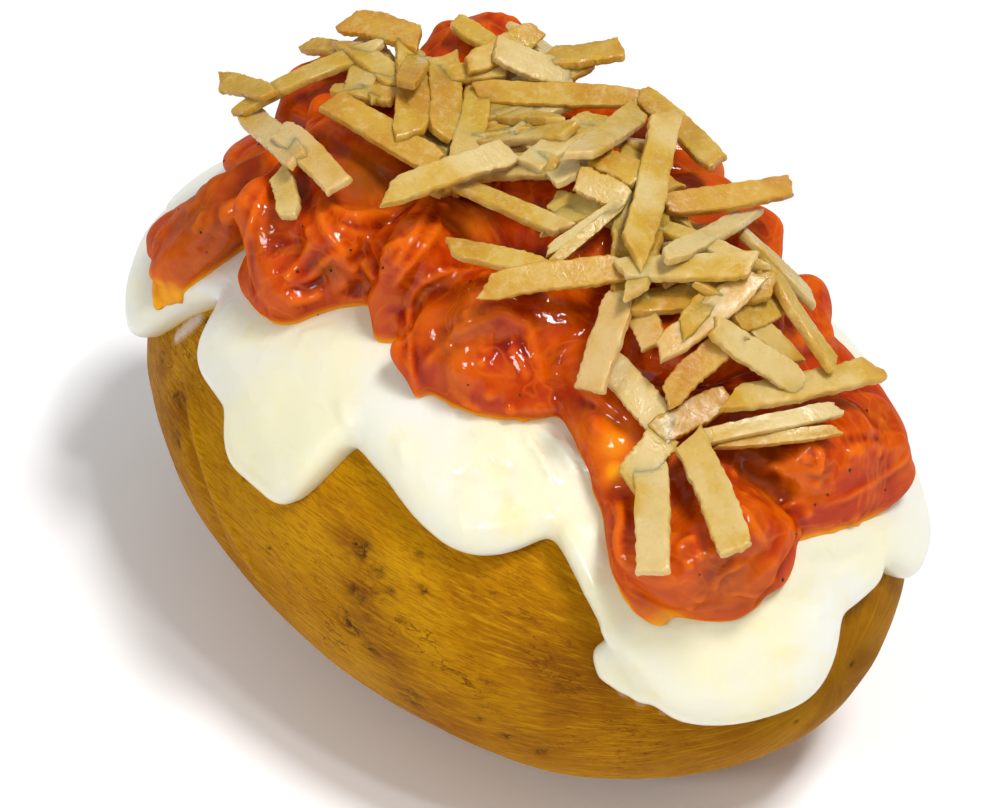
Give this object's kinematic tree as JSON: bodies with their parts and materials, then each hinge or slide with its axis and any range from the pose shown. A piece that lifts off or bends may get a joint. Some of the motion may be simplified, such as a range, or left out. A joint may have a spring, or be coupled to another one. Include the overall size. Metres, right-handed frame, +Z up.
{
  "type": "stuffed baked potato",
  "caption": "Whole baked potato in its skin under a draped blanket of cream with tongues down its sides, a mound of glossy saucy chunks and a heap of fried potato straws on top.",
  "frame": {"origin": "middle of the small flat spot that the potato rests on", "axes": "+X along the potato's length towards its thicker end, +Y across it, +Z up"},
  "size_m": [0.1412, 0.0873, 0.0946],
  "materials": {
    "potato_skin": "thin satin skin, ochre with brown mottling, scratches and pits",
    "cream": "smooth wet ivory cream",
    "sauce": "wet oily orange-red tomato sauce",
    "sauced_chunk": "tender chunks coated in wet orange-red sauce",
    "potato_straws": "fried, pale golden with toasted edges and oily glints"
  },
  "bodies": {
    "root": {"chunk_back": "sauced_chunk", "chunk_back_low": "sauced_chunk", "chunk_back_right": "sauced_chunk", "chunk_big_curl": "sauced_chunk", "chunk_brow": "sauced_chunk", "chunk_crest": "sauced_chunk", "chunk_far_back": "sauced_chunk", "chunk_far_shoulder": "sauced_chunk", "chunk_front": "sauced_chunk", "chunk_left_drape": "sauced_chunk", "chunk_middle": "sauced_chunk", "chunk_near_tip": "sauced_chunk", "chunk_ridge": "sauced_chunk", "chunk_ridge_right": "sauced_chunk", "chunk_right_lobe": "sauced_chunk", "cream": "cream", "potato": "potato_skin", "sauce": "sauce", "straws": "potato_straws"}
  },
  "joints": []
}
